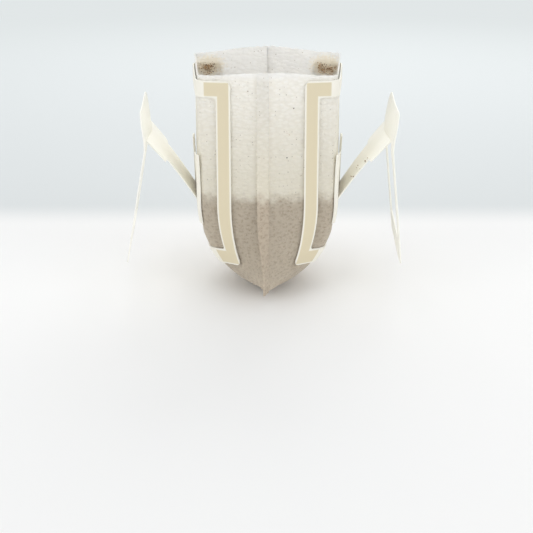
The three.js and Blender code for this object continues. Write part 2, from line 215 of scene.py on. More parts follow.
def pouch_mesh(columns=230, upper=46, lower=44):
    """The wall as a grid round the bag for its outer face and one for its inner face, joined at the torn
    edge. Rows run from that edge, where they are closer together, to the middle line of the bottom fold."""
    share, side = round_the_bag(columns)
    run = np.where(side < 0, 2 - share, share) * FLAT_WIDTH
    ripple, sway = waves(run, 0 * run, 3, 9, 0.2, 0.9), waves(run, 0 * run, 4, 5, 0.05, 0.15)
    edge = torn_z(share) + EDGE_RIPPLE * ripple + EDGE_SWAY * sway
    t = np.linspace(0, 1, upper)[:, None] ** 1.25
    z = edge * (1 - t) + BEND_Z * t
    depth = np.sin(np.arange(1, lower) / (lower - 1) * np.pi / 2)[:, None]
    z = np.concatenate([z, BEND_Z + (FOLD_Z - BEND_Z) * depth + 0 * edge])
    share, run, side = (np.broadcast_to(v, z.shape) for v in (share, run, side))
    shape = wall_relief(share, run, z, edge)
    faces, maps, points = [], [], []
    rows, count = z.shape[0] + 1, z.shape[1]
    index = np.arange(rows * count).reshape(rows, count)
    cloth_map = np.stack([run, z], axis=-1) * MAP
    cloth_map = np.concatenate([cloth_map, cloth_map[-1:] - (0, FOLD_HALF_WIDTH * MAP)])
    for layer, offset in enumerate((shape, shape - CLOTH)):
        place = wall(share, z, offset)
        into_fold = smooth(-z, *FOLD_DEPTHS) * layer
        place[..., 0] = np.maximum(place[..., 0], LEAST_X) * side * (1 - FOLD_NARROWING * into_fold)
        place[..., 2] += FOLD_RISE * into_fold
        fold_line = place[-1:] * (0, 1, 1) - (0, 0, FOLD_DEPTH)
        points.append(np.concatenate([place, fold_line]))
        maps.append(cloth_map)
        here = index + layer * rows * count
        beside = np.roll(here, -1, axis=1)
        quad = np.stack([here[:-1], here[1:], beside[1:], beside[:-1]], axis=-1).reshape(-1, 4)
        faces.append(quad if layer == 0 else quad[:, ::-1])
    top, inner = index[0], index[0] + rows * count
    faces.append(np.stack([top, np.roll(top, -1), np.roll(inner, -1), inner], axis=-1))
    return np.stack(points), np.concatenate(faces), np.stack(maps)


def nodes_of(name):
    """A new material with its node tree and its Principled shader."""
    material = bpy.data.materials.new(name)
    material.use_nodes = True
    tree = material.node_tree
    return material, tree, tree.nodes["Principled BSDF"]


def add(tree, kind, inputs=None, **settings):
    """A node of a tree, with its settings, and its inputs set to values or linked from sockets."""
    node = tree.nodes.new(kind)
    for name, value in settings.items():
        setattr(node, name, value)
    for name, value in (inputs or {}).items():
        if isinstance(value, bpy.types.NodeSocket):
            tree.links.new(value, node.inputs[name])
        else:
            node.inputs[name].default_value = value
    return node


def ramp(tree, value, low, high, ease="LINEAR"):
    """A socket that goes from 0 at low to 1 at high."""
    node = add(tree, "ShaderNodeMapRange", {"Value": value, "From Min": low, "From Max": high})
    node.interpolation_type = ease
    return node.outputs["Result"]


def tint(tree, factor, below, above):
    """A colour from below to above as the factor goes from 0 to 1. Each is a colour or a socket."""
    node = add(tree, "ShaderNodeMix", data_type="RGBA")
    tree.links.new(factor, node.inputs[0])
    for socket, colour in ((node.inputs[6], below), (node.inputs[7], above)):
        if isinstance(colour, bpy.types.NodeSocket):
            tree.links.new(colour, socket)
        else:
            socket.default_value = (*colour, 1)
    return node.outputs[2]


def sum_of(tree, first, weight, second):
    """first plus weight times second."""
    node = add(tree, "ShaderNodeMath", {0: second, 1: weight, 2: first}, operation="MULTIPLY_ADD")
    return node.outputs[0]


def calc(tree, operation, first, second):
    """A socket with the result of a sum on two sockets or numbers."""
    return add(tree, "ShaderNodeMath", {0: first, 1: second}, operation=operation).outputs[0]


def product(tree, first, *others):
    """A socket with the product of sockets or numbers."""
    for other in others:
        first = calc(tree, "MULTIPLY", first, other)
    return first


def noise(tree, vector, scale, detail=2.0, roughness=0.5, distortion=0.0):
    """A socket with smooth random values about 0.5."""
    kind = {"Detail": detail, "Roughness": roughness, "Distortion": distortion}
    return add(tree, "ShaderNodeTexNoise", {"Vector": vector, "Scale": scale, **kind}).outputs[0]


def voronoi(tree, vector, scale, randomness):
    """Flat cells, with outputs for the distance to a cell's point and for its random colour."""
    inputs = {"Vector": vector, "Scale": scale, "Randomness": randomness}
    return add(tree, "ShaderNodeTexVoronoi", inputs, voronoi_dimensions="2D").outputs


def dress(tree, shader, values, colour, relief=None, strength=0.0, depth=0.0):
    """Sets a shader's plain values and its colour, and bumps it by a relief where one is given."""
    for name, value in values.items():
        shader.inputs[name].default_value = value
    tree.links.new(colour, shader.inputs["Base Color"])
    if relief is not None:
        bump = add(tree, "ShaderNodeBump", {"Height": relief, "Strength": strength, "Distance": depth})
        tree.links.new(bump.outputs[0], shader.inputs["Normal"])


BONDED, THICK = (0.90, 0.855, 0.75), (0.93, 0.88, 0.765)
THIN, FLUFFY = (0.955, 0.915, 0.815), (0.975, 0.94, 0.85)
# Painted shade: the share of colour a sealed strip keeps, so that it looks as dim as the translucent cloth
# beside it.
SEAM_SHADE_SHARE = (0.875, 0.885, 0.915)
# Painted shade with some coffee tan towards the bottom, and a painted highlight near the top.
LOW_SHADE_AND_TAN, PAINTED_HIGHLIGHT = (0.85, 0.77, 0.58), (0.975, 0.97, 0.95)
# The tan patch colour is partly a coffee stain and partly painted shade of the card's leg behind the back
# wall.
DUSTED, STAIN_AND_SHADE = (0.33, 0.26, 0.19), (0.93, 0.79, 0.56)
# Painted shade: the coffee's browns as they look through the cloth.
DARK_BEHIND, LIGHT_BEHIND, BOND_BEHIND = (0.25, 0.165, 0.105), (0.52, 0.42, 0.32), (0.46, 0.37, 0.28)
PATCH_X, PATCH_Z = 0.0175, 0.0208


def nonwoven(name, sealed=False):
    """Nonwoven: small puffs in wavy rows with bonds between them, fibres on them, and clouds of thicker and
    thinner web. Towards the bottom it is darker and warmer, as painted shade with some tan from the coffee,
    and it has a painted highlight along the torn edge and on the back wall's inside, where light shines in.
    It carries dust, and a tan patch round the clinging grains that is partly a stain and partly painted
    shade of the card behind the cloth. The settled coffee is painted on it as painted shade where it shows
    through. A sealed strip has its colours darkened as painted shade, to look as dim as the translucent
    cloth beside it."""
    material, tree, shader = nodes_of(name)
    cloth = add(tree, "ShaderNodeUVMap", uv_map="cloth").outputs["UV"]
    place = add(tree, "ShaderNodeTexCoord").outputs["Object"]
    split = add(tree, "ShaderNodeSeparateXYZ", {"Vector": place}).outputs
    drift = add(tree, "ShaderNodeTexNoise", {"Vector": cloth, "Scale": 2.6, "Detail": 2.0})
    wander = add(tree, "ShaderNodeMix", {0: 0.06, 4: cloth, 5: drift.outputs["Color"]}, data_type="VECTOR")
    rows = add(tree, "ShaderNodeMapping", {"Vector": wander.outputs[1], "Scale": (6.2, 11.5, 1)})
    puff = ramp(tree, voronoi(tree, rows.outputs[0], 1.0, 0.85)["Distance"], 0.66, 0.16, "SMOOTHSTEP")
    web = noise(tree, cloth, 38.0, 3.0, distortion=2.2)
    cloud = noise(tree, cloth, 3.2, 3.0, roughness=0.6)
    lying = add(tree, "ShaderNodeMapping", {"Vector": cloth, "Scale": (1, 2.6, 1)})
    slub = noise(tree, lying.outputs[0], 6.5, 3.0, distortion=0.8)
    grain = noise(tree, cloth, 13.0, 4.0, roughness=0.7)

    # Painted shade: a sealed strip has no subsurface light, so its colours are darkened to match the cloth
    # beside it.
    seam_shade = np.array(SEAM_SHADE_SHARE) if sealed else 1.0
    bonded, thick, thin, fluffy, low_shade_and_tan = seam_shade * np.array([BONDED, THICK, THIN, FLUFFY, LOW_SHADE_AND_TAN])
    colour = tint(tree, ramp(tree, cloud, 0.34, 0.66), thick, thin)
    colour = tint(tree, ramp(tree, slub, 0.36, 0.62), colour, fluffy)
    colour = tint(tree, puff, bonded, colour)
    # Painted shade, with some tan from the coffee: the cloth is darker and warmer towards the bottom.
    lower = ramp(tree, split["Z"], 0.020, -0.006)
    colour = tint(tree, product(tree, lower, 0.65), colour, low_shade_and_tan)
    # Painted highlight: whiter along the torn edge, and on the back wall's inside above 10 mm, where light
    # shines in.
    at_back = ramp(tree, split["Y"], 0.004, 0.010)
    torn = ramp(tree, split["Z"], 0.0215, 0.0245, "SMOOTHSTEP")
    lit = product(tree, at_back, ramp(tree, split["Z"], 0.010, 0.018, "SMOOTHSTEP"))
    colour = tint(tree, product(tree, calc(tree, "MAXIMUM", torn, lit), 0.7), colour, PAINTED_HIGHLIGHT)

    specks = voronoi(tree, cloth, 8.5, 1.0)
    few = add(tree, "ShaderNodeSeparateColor", {"Color": specks["Color"]}).outputs
    near = ramp(tree, specks["Distance"], 0.17, 0.05, "SMOOTHSTEP")
    some = product(tree, ramp(tree, few[0], 0.77, 0.81), ramp(tree, few[1], 0.1, 0.9))
    colour = tint(tree, product(tree, near, some, 0.75), colour, DUSTED)
    # A tan patch round the clinging grains: partly a coffee stain, partly painted shade of the card's leg
    # behind the cloth.
    aside = calc(tree, "SUBTRACT", calc(tree, "ABSOLUTE", split["X"], 0), PATCH_X)
    aside = product(tree, aside, 0.7)
    above = calc(tree, "SUBTRACT", split["Z"], PATCH_Z)
    apart = calc(tree, "SQRT", sum_of(tree, product(tree, aside, aside), above, above), 0)
    stain_and_shade = ramp(tree, sum_of(tree, apart, 0.004, grain), 0.0063, 0.0037, "SMOOTHSTEP")
    colour = tint(tree, product(tree, stain_and_shade, at_back, 0.8), colour, STAIN_AND_SHADE)
    # Painted shade: below the coffee's top its browns are painted on the cloth, where the coffee shows
    # through the thin web.
    behind = ramp(tree, sum_of(tree, split["Z"], 0.007, cloud), -0.0052, -0.0100, "SMOOTHSTEP")
    shown = tint(tree, ramp(tree, grain, 0.36, 0.64), DARK_BEHIND, LIGHT_BEHIND)
    shown = tint(tree, puff, BOND_BEHIND, shown)
    colour = tint(tree, product(tree, behind, 0.75), colour, shown)

    relief = sum_of(tree, sum_of(tree, web, 0.8, puff), 1.2, slub)
    if sealed:
        ribs = add(tree, "ShaderNodeTexWave", {"Vector": cloth, "Scale": 3.2}, bands_direction="DIAGONAL")
        relief = sum_of(tree, relief, 1.0, ribs.outputs[0])
    values = {
        "Roughness": 0.88, "Specular IOR Level": 0.3, "Sheen Weight": 0.15,
        "Subsurface Weight": 0.0 if sealed else 0.48,
        "Subsurface Radius": (1.0, 0.95, 0.86), "Subsurface Scale": 0.0021,
    }
    dress(tree, shader, values, colour, relief, 0.75, 0.00013)
    return material


cloth_material = nonwoven("nonwoven_cloth")
points, quads, maps = pouch_mesh()
pouch = mesh_piece("pouch_cloth", points, quads, [cloth_material], uv=maps, smooth_angle=1.0)
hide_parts("filter_pouch")
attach(pouch, "root")


# The side seams.
# Each is a strip where the front and the back of the flat bag are welded by hot jaws with a fine rib.
# Once the bag is open they stand in the middle of the front and of the back. The front one is laid over.
SEAM_WIDTH, SEAM_THICKNESS, SEAM_DROP = 3.0, 0.42, 0.35
# For each seam: its share of the half plan, the way it faces along Y, its lean in degrees, and where it
# starts inside the wall as a share of its width.
SEAMS = {"front_seam": (0.0, -1, 94, -0.12), "back_seam": (1.0, 1, 35, -0.04)}


def sheet_faces(there):
    """Faces of a two-faced sheet on a grid: a cell's outer and inner quads, and a wall at each open side.
    Gives the quads, and 0, 1 or 2 for outer face, inner face and cut edge."""
    rows, columns = there.shape[0] + 1, there.shape[1] + 1
    outer = np.arange(rows * columns).reshape(rows, columns)
    inner = outer + rows * columns
    near = [outer[:-1, :-1], outer[1:, :-1], outer[1:, 1:], outer[:-1, 1:]]
    far = [inner[:-1, :-1], inner[:-1, 1:], inner[1:, 1:], inner[1:, :-1]]
    quads = [np.stack(near, -1)[there], np.stack(far, -1)[there]]
    padded = np.pad(there, 1)
    sides = (
        (padded[:-2, 1:-1], outer[:-1, :-1], outer[:-1, 1:]),
        (padded[1:-1, 2:], outer[:-1, 1:], outer[1:, 1:]),
        (padded[2:, 1:-1], outer[1:, 1:], outer[1:, :-1]),
        (padded[1:-1, :-2], outer[1:, :-1], outer[:-1, :-1]),
    )
    for beyond, start, end in sides:
        open_side = there & ~beyond
        a, b = start[open_side], end[open_side]
        quads.append(np.stack([a, b, b + rows * columns, a + rows * columns], -1))
    kind = np.concatenate([np.full(len(q), min(i, 2)) for i, q in enumerate(quads)])
    return np.concatenate(quads), kind


def seam_strip(share, way, lean_above, start, rows=150, columns=12):
    """A strip from the seam line outward. Its lean is an angle from straight out, which eases off towards
    the bottom corner: the front strip lies on the wall above, and the back one stands off it."""
    z = np.linspace(torn_z(np.array(share)) - SEAM_DROP, FOLD_Z, rows)[:, None]
    w = np.linspace(start, 1, columns)[None] * SEAM_WIDTH
    root = wall_point(np.full(z.shape, share), z)
    root[..., 0] = 0
    lean = np.radians(lean_above) * (1 - 0.8 * smooth(-z, 8, 36))
    lean = lean + 0.02 * waves(z, 0 * z, 21 + way, 5, 0.03, 0.12)
    lean = lean + 0.02 * waves(w * 2, z, 24 + way, 5, 0.05, 0.2)
    out = np.stack([way * np.sin(lean), way * np.cos(lean), 0 * lean], -1)
    across = np.stack([way * np.cos(lean), -way * np.sin(lean), 0 * lean], -1)
    ragged = 1 + 0.03 * waves(z, 0 * z, 27 + way, 6, 0.1, 0.6)
    middle = root + out * (w * ragged)[..., None]
    faces = [middle + across * s * SEAM_THICKNESS / 2 for s in (-1, 1)]
    quads, _ = sheet_faces(np.ones((rows - 1, columns - 1), bool))
    uv = np.stack([w + 0 * z, z + 0 * w], -1) * MAP
    return np.stack(faces), quads, np.stack([uv, uv])


seam_material = nonwoven("nonwoven_seam", sealed=True)
for name, seam_shape in SEAMS.items():
    points, quads, maps = seam_strip(*seam_shape)
    seam = mesh_piece(name, points, quads, [seam_material], uv=maps)
    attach(seam, "root")


# The torn edge.
# Where the top strip was torn away the web parts between its bonds, and the ends of its fibres stand up
# from the edge in a thin fringe.
FIBRE_RADIUS, FIBRE_TAPER = 0.022, 0.75


def fibre_fringe(count=1500, steps=5, sides=3):
    """Curved tapering tubes: a root on the torn edge, a way up and outward, and a sideways curl that grows
    with the square of the length along the fibre."""
    draw = np.random.default_rng(31)
    share, side = draw.random(count), draw.choice([-1, 1], count)
    root = wall(share, torn_z(share) - 0.1, np.full(count, -CLOTH / 2))
    length = draw.gamma(2.2, 0.16, count) + 0.12
    lean, curl = draw.normal(0, 0.45, (count, 2)), draw.normal(0, 0.8, (count, 2))
    t = np.linspace(0, 1, steps)[None, :, None]
    way = np.stack([lean[:, 0], lean[:, 1], np.ones(count)], -1)[:, None]
    bend = np.stack([curl[:, 0], curl[:, 1], -np.abs(curl[:, 0]) * 0.6], -1)[:, None]
    line = root[:, None] + length[:, None, None] * (way * t + bend * t**2 * 0.5)
    angle = np.linspace(0, 2 * np.pi, sides, endpoint=False)
    circle = np.stack([np.cos(angle), np.sin(angle), 0 * angle], -1)
    thick = (FIBRE_RADIUS * (1 - FIBRE_TAPER * t))[..., None]
    tube = line[:, :, None] + circle * thick
    tube[..., 0] *= side[:, None, None]
    ring = np.arange(steps * sides).reshape(steps, sides)
    beside = np.roll(ring, -1, axis=1)
    one = np.stack([ring[:-1], beside[:-1], beside[1:], ring[1:]], -1).reshape(-1, 4)
    quads = one[None] + (np.arange(count) * steps * sides)[:, None, None]
    return tube.reshape(-1, 3), quads.reshape(-1, 4)


def fibre_material():
    """Bare fibre: white, soft and a little clear, with a faint change of tone along it."""
    material, tree, shader = nodes_of("web_fibre")
    place = add(tree, "ShaderNodeTexCoord").outputs["Object"]
    colour = tint(tree, noise(tree, place, 900.0), (0.84, 0.82, 0.76), (0.94, 0.93, 0.89))
    dress(tree, shader, {"Roughness": 0.6, "Subsurface Weight": 0.2, "Subsurface Scale": 0.0005}, colour)
    return material


points, quads = fibre_fringe()
fringe = mesh_piece("torn_fibres", points, quads, [fibre_material()])
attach(fringe, "root")


# The cards.
# Each is die-cut from one piece of white board of 0.35 mm. Its outer part is a frame glued round the side of
# the pouch, and its bars on the front and the back are painted beige as painted shade. Its inner part is the
# hanger.
CARD = 0.35
CARD_LIFT = 0.3
TOP_BAR, FOOT_BAR, LEG_BAR = 4.6, 4.6, 4.0
RING_WIDTH, RING_HEIGHT, CUT = 36.0, 43.8, 0.2
WINDOW_HALF = RING_WIDTH / 2 + CUT
FRAME_HALF = WINDOW_HALF + LEG_BAR
WINDOW_TOP, WINDOW_FOOT = TOP_BAR, TOP_BAR + RING_HEIGHT + 2 * CUT
FRAME_HEIGHT = WINDOW_FOOT + FOOT_BAR
BEND_ACROSS = 14.6
CORNER_ROUND, WINDOW_ROUND = 1.6, 1.0
LEG_CELLS, WINDOW_CELLS = 7, 64
BACK_FACE_SHIFT = 80.0
# Painted shade on the frame's bars: its beige, and the width of the bright rim it leaves at the edges and
# bends.
SHADE_RIM, BAR_SHADE = (0.2, 0.6), (0.735, 0.655, 0.475)
TINY = 1e-5
BOARD_TONES = {
    "outer_side": ((0.90, 0.875, 0.785), (0.915, 0.89, 0.805), (0.82, 0.785, 0.67)),
    "back": ((0.95, 0.945, 0.875), (0.965, 0.96, 0.90), (0.87, 0.85, 0.76)),
    "cut_edge": ((0.94, 0.93, 0.86), (0.96, 0.95, 0.88), (0.84, 0.81, 0.70)),
}
SIDES = {"left": -1, "right": 1}


def set_back(radius, distance):
    """How far a rounded corner sets an edge back, at a distance from the corner's end."""
    reach = np.clip(distance, 0, radius)
    return radius - np.sqrt(np.maximum(radius**2 - (radius - reach) ** 2, 0))


def stops_to_rows(stops, step):
    """Places from stop to stop, at most a step apart."""
    parts = []
    for start, end in zip(stops, stops[1:]):
        cells = max(2, int(np.ceil((end - start) / step)))
        parts.append(np.linspace(start, end, cells + 1)[:-1])
    return np.concatenate([*parts, [stops[-1]]])


def between(lines, counts):
    """Columns between the main lines of each row: the given number of equal cells from line to line."""
    parts = []
    for a, b, count in zip(lines, lines[1:], counts):
        t = np.arange(count) / count
        parts.append(a[:, None] * (1 - t) + b[:, None] * t)
    return np.concatenate([*parts, lines[-1][:, None]], axis=1)


def round_stops(start, radius, count=5):
    """Places along a rounded corner, close together where it turns fastest."""
    return [start + radius * (1 - np.cos(a)) for a in np.linspace(0, np.pi / 2, count)]


def glued_frame():
    """The frame's blank, and its place on the wall: across is a length along the plan, down is a height."""
    straights = [
        CORNER_ROUND, WINDOW_TOP, WINDOW_TOP + WINDOW_ROUND, WINDOW_FOOT - WINDOW_ROUND, WINDOW_FOOT,
        FRAME_HEIGHT - CORNER_ROUND,
    ]
    v = np.unique(np.concatenate([
        round_stops(0, CORNER_ROUND),
        round_stops(WINDOW_TOP, WINDOW_ROUND),
        [WINDOW_FOOT - s for s in round_stops(0, WINDOW_ROUND)],
        [FRAME_HEIGHT - s for s in round_stops(0, CORNER_ROUND)],
        stops_to_rows(straights, 0.8),
    ]).round(6))
    outer = FRAME_HALF - set_back(CORNER_ROUND, np.minimum(v, FRAME_HEIGHT - v))
    in_window = (v >= WINDOW_TOP - TINY) & (v <= WINDOW_FOOT + TINY)
    to_end = np.minimum(v - WINDOW_TOP, WINDOW_FOOT - v)
    inner = WINDOW_HALF - np.where(in_window, set_back(WINDOW_ROUND, to_end), WINDOW_ROUND)
    u = between([-outer, -inner, inner, outer], (LEG_CELLS, WINDOW_CELLS, LEG_CELLS))
    middle = (v[:-1] + v[1:])[:, None] / 2
    there = np.ones((len(middle), u.shape[1] - 1), bool)
    there[:, LEG_CELLS:-LEG_CELLS] = (middle < WINDOW_TOP) | (middle > WINDOW_FOOT)
    v = np.broadcast_to(v[:, None], u.shape)
    share = (CARD_CENTRE + u) / FLAT_WIDTH
    curl = 0.05 * waves(u, v, 41, 5, 0.02, 0.08)
    faces = [wall(share, CARD_TOP_Z - v, CARD_LIFT + curl + CARD * lift) for lift in (1, 0)]
    return np.stack(faces), there, np.stack([u, v], -1)


def tongue_only(tree, sheet, half):
    """1 within half a width of the blank's middle line, and 0 beyond."""
    across = add(tree, "ShaderNodeSeparateXYZ", {"Vector": sheet}).outputs["X"]
    folded = calc(tree, "PINGPONG", calc(tree, "ABSOLUTE", across, 0), BACK_FACE_SHIFT * MAP / 2)
    return ramp(tree, folded, half * MAP, half * MAP - 0.02)


def board(name, tone, mottle, grey, scores=()):
    """Uncoated board: its tone drifts slowly, short fibres lie along the grain, and it has a fine tooth.
    A score is a pressed line across the tongue, given by its place down the blank and its half width. Its
    groove is darkened as painted shade."""
    material, tree, shader = nodes_of(name)
    sheet = add(tree, "ShaderNodeUVMap", uv_map="cloth").outputs["UV"]
    along = add(tree, "ShaderNodeMapping", {"Vector": sheet, "Scale": (18, 90, 1), "Rotation": (0, 0, 1.45)})
    fibre = noise(tree, along.outputs[0], 1.0, 4.0, roughness=0.65)
    colour = tint(tree, ramp(tree, noise(tree, sheet, 1.6, 3.0), 0.35, 0.65), tone, mottle)
    flecks = ramp(tree, fibre, 0.62, 0.74)
    colour = tint(tree, product(tree, flecks, 0.3), colour, grey)
    relief = sum_of(tree, fibre, 0.6, noise(tree, sheet, 120.0))
    down = add(tree, "ShaderNodeSeparateXYZ", {"Vector": sheet}).outputs["Y"]
    for place, half in scores:
        away = calc(tree, "ABSOLUTE", calc(tree, "SUBTRACT", down, place * MAP), 0)
        # Painted shade: the score's groove is darkened in colour as well as pressed in.
        pressed = ramp(tree, away, 0.03, 0.008, "SMOOTHSTEP")
        line = product(tree, pressed, tongue_only(tree, sheet, half))
        colour = tint(tree, product(tree, line, 0.5), colour, grey)
        relief = sum_of(tree, relief, -3.0, line)
    dress(tree, shader, {"Roughness": 0.72, "Specular IOR Level": 0.35}, colour, relief, 0.35, 0.00005)
    return material


def paint_bar_shade(material):
    """Darkens the frame's bars to beige on the front and the back as painted shade. It stops short of the
    cut edges and of the bends by the width of a bright rim, all measured on the flat blank."""
    tree = material.node_tree
    shader = tree.nodes["Principled BSDF"]
    bare = shader.inputs["Base Color"].links[0].from_socket
    sheet = add(tree, "ShaderNodeUVMap", uv_map="cloth").outputs["UV"]
    blank = add(tree, "ShaderNodeSeparateXYZ", {"Vector": sheet}).outputs
    across = product(tree, calc(tree, "ABSOLUTE", blank["X"], 0), 1 / MAP)
    down = product(tree, blank["Y"], 1 / MAP)

    def past(value, edge):
        return ramp(tree, calc(tree, "SUBTRACT", value, edge), *SHADE_RIM, "SMOOTHSTEP")

    bars = calc(tree, "MAXIMUM", past(WINDOW_TOP, down), past(down, WINDOW_FOOT))
    bars = calc(tree, "MAXIMUM", past(across, WINDOW_HALF), bars)
    shade = product(
        tree, bars, past(FRAME_HALF, across), past(down, 0.0), past(FRAME_HEIGHT, down),
        past(across, BEND_ACROSS),
    )
    tree.links.new(tint(tree, shade, bare, BAR_SHADE), shader.inputs["Base Color"])


def card_faces(name, scores=()):
    """The three materials of a card: outer side, whiter back, and cut edge, which no score crosses."""
    return [
        board(f"{name}_{face}", *tones, () if face == "cut_edge" else scores)
        for face, tones in BOARD_TONES.items()
    ]


def card_piece(name, node, points, there, blank, side, materials):
    """A bent card as a piece: mirrored for the left, with its outer face, back and cut edges told apart."""
    quads, kind = sheet_faces(there)
    points = points.copy()
    points[..., 0] *= side
    if side < 0:
        quads = quads[:, ::-1]
    uv = np.stack([blank, blank + (BACK_FACE_SHIFT, 0)]) * MAP
    piece = mesh_piece(name, points, quads, materials, kind, uv)
    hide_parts(node)
    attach(piece, "root")


frame_faces = card_faces("frame")
# The frame's bars on the front and the back get painted shade.
paint_bar_shade(frame_faces[0])
points, there, blank = glued_frame()
for side, sign in SIDES.items():
    card_piece(f"glued_frame_{side}", f"card_frame_{side}", points, there, blank, sign, frame_faces)


# The hangers.
# The inner part of each card, pulled out to hang the bag by: a ring, whose band stands up and whose legs
# hang down, and a tongue from the ring's middle that is creased at the band and hinged at a glued panel.
BAND, LEG, RING_FOOT = 8.3, 4.5, 7.0
HEAD, NECK_HALF, PANEL_FOOT = 7.9, 9.0, 6.0
HEAD_END = BAND + HEAD
HOLE_HALF, HOLE_END = RING_WIDTH / 2 - LEG, RING_HEIGHT - RING_FOOT
PANEL_HALF, PANEL_END = HOLE_HALF - CUT, HOLE_END - CUT
HINGE = PANEL_END - PANEL_FOOT
BLANK_TOP_Z = CARD_TOP_Z - TOP_BAR - CUT
LEG_X = {"left": 34.8, "right": 35.3}
BAND_LEAN = {"left": 7.5, "right": 9.5}
TAIL_LEAN = {"left": 10.5, "right": 5.8}
EAR_YAW = {"left": 2.6, "right": 1.4}
CREASE_Z, CREASE_PULL, PULL_REACH = 4.8, 1.3, 6.0
TURN_ABOVE, TURN_BELOW = 2, 5
TONGUE_BOW, BOW_WAY, STRIP_LIFT = 0.4, np.array([-0.866, 0, 0.5]), 0.5
EAR_ROUND, HEAD_ROUND, RING_ROUND = 4.0, 1.5, 1.2


def ring_surface(side):
    """The ring: its side view is a line whose slope turns from the band's lean to the legs' lean at the
    crease, and the middle of the band is pulled in there."""
    v = np.linspace(0, RING_HEIGHT, 400)
    turn = smooth(v, BAND - TURN_ABOVE, BAND + TURN_BELOW)
    angle = np.radians(-BAND_LEAN[side] * (1 - turn) + TAIL_LEAN[side] * turn)
    step = v[1]
    x, z = np.cumsum(np.sin(angle)) * step, -np.cumsum(np.cos(angle)) * step
    x, z = x - np.interp(BAND, v, x), z - np.interp(BAND, v, z)
    yaw = np.tan(np.radians(EAR_YAW[side]))
    seed = 51 if side == "left" else 52

    def surface(across, down):
        reach = smooth(np.abs(across), 0, RING_WIDTH / 2)
        pull = CREASE_PULL * (1 - reach) * np.exp(-(((down - BAND) / PULL_REACH) ** 2))
        warp = 0.15 * waves(across, down, seed, 4, 0.01, 0.03)
        px = LEG_X[side] + np.interp(down, v, x) - pull + yaw * across + warp
        return np.stack([px, across + 0 * down, CREASE_Z + np.interp(down, v, z)], -1)

    return surface


def hanger_surfaces(side):
    """The three surfaces of a hanger: the ring, the glued panel on the wall, and the tongue between them."""
    ring = ring_surface(side)

    def panel(across, down):
        free = np.clip((HINGE - down) / (HINGE - HEAD_END), 0, None)
        share = (CARD_CENTRE + across) / FLAT_WIDTH
        return wall(share, BLANK_TOP_Z - down, CARD_LIFT + STRIP_LIFT * free**2)

    def tongue(across, down):
        t = ((down - BAND) / (HINGE - BAND))[..., None]
        crease, hinge = ring(across, BAND + 0 * down), panel(across, HINGE + 0 * down)
        bow = TONGUE_BOW * 4 * t * (1 - t)
        return crease * (1 - t) + hinge * t + bow * BOW_WAY

    return ring, panel, tongue


def normal_of(surface, across, down):
    """Outward normal: the cross product of a step down and a step across."""
    over = surface(across + 0.05, down) - surface(across - 0.05, down)
    fall = surface(across, down + 0.05) - surface(across, down - 0.05)
    normal = np.cross(fall, over)
    return normal / np.linalg.norm(normal, axis=-1, keepdims=True)


def hanger_card(side):
    """The hanger's blank on a grid whose columns follow its cut lines, with each part on its own surface."""
    v = np.unique(np.concatenate([
        round_stops(0, EAR_ROUND, 9),
        [HEAD_END - s for s in round_stops(0, HEAD_ROUND)],
        [RING_HEIGHT - s for s in round_stops(0, RING_ROUND)],
        stops_to_rows([EAR_ROUND, BAND, HEAD_END - HEAD_ROUND], 0.55),
        stops_to_rows([HEAD_END + CUT, HINGE, PANEL_END], 0.7),
        stops_to_rows([HOLE_END, RING_HEIGHT - RING_ROUND], 0.8),
    ]).round(6))
    outer = RING_WIDTH / 2 - set_back(EAR_ROUND, v) - set_back(RING_ROUND, RING_HEIGHT - v)
    on_head = (v > BAND - TINY) & (v < HEAD_END + TINY)
    head = PANEL_HALF - np.where(on_head, set_back(HEAD_ROUND, HEAD_END - v), 0)
    line = [0 * v, NECK_HALF + 0 * v, NECK_HALF + CUT + 0 * v, head, HOLE_HALF + 0 * v, outer]
    counts = (12, 1, 8, 1, 8)
    right = between(line, counts)
    u = np.concatenate([-right[:, :0:-1], right], axis=1)
    neck, _, strip, _, leg = range(5)
    cells = np.repeat(np.arange(5), counts)
    cells = np.concatenate([cells[::-1], cells])[None]
    middle = (v[:-1] + v[1:])[:, None] / 2
    ring_part = (cells == leg) | (middle < BAND) | (middle > HOLE_END)
    head_part = (cells <= strip) & (middle < HEAD_END)
    neck_part = (cells == neck) & (middle < PANEL_END)
    strip_part = (cells == strip) & (middle > HEAD_END + CUT) & (middle < PANEL_END)
    foot_part = (cells <= strip) & (middle > HINGE) & (middle < PANEL_END)
    there = ring_part | head_part | neck_part | strip_part | foot_part
    v = np.broadcast_to(v[:, None], u.shape)
    in_hole = (np.abs(u) < HOLE_HALF - TINY) & (v > BAND + TINY) & (v < HOLE_END - TINY)
    on_neck = (np.abs(u) < NECK_HALF + TINY) & (v < HINGE - TINY)
    on_tongue = in_hole & ((v < HEAD_END + TINY) | on_neck)
    crease = (np.abs(v - BAND) < TINY) & (np.abs(u) < HOLE_HALF - TINY)
    hinge = in_hole & (np.abs(v - HINGE) < TINY) & (np.abs(u) < NECK_HALF + TINY)
    ring, panel, tongue = hanger_surfaces(side)
    place, normal = ring(u, v), normal_of(ring, u, v)
    for where, surface in ((in_hole & ~on_tongue, panel), (on_tongue, tongue)):
        place = np.where(where[..., None], surface(u, v), place)
        normal = np.where(where[..., None], normal_of(surface, u, v), normal)
    fold = (crease | hinge)[..., None]
    mitre = normal + normal_of(tongue, u, v)
    mitre /= np.linalg.norm(mitre, axis=-1, keepdims=True)
    normal = np.where(fold, mitre, normal)
    return np.stack([place + normal * CARD, place]), there, np.stack([u, v], -1)


hanger_faces = card_faces("hanger", ((BAND, HOLE_HALF - CUT), (HINGE, NECK_HALF)))
for side, sign in SIDES.items():
    points, there, blank = hanger_card(side)
    card_piece(f"pulled_hanger_{side}", f"hanger_{side}", points, there, blank, sign, hanger_faces)


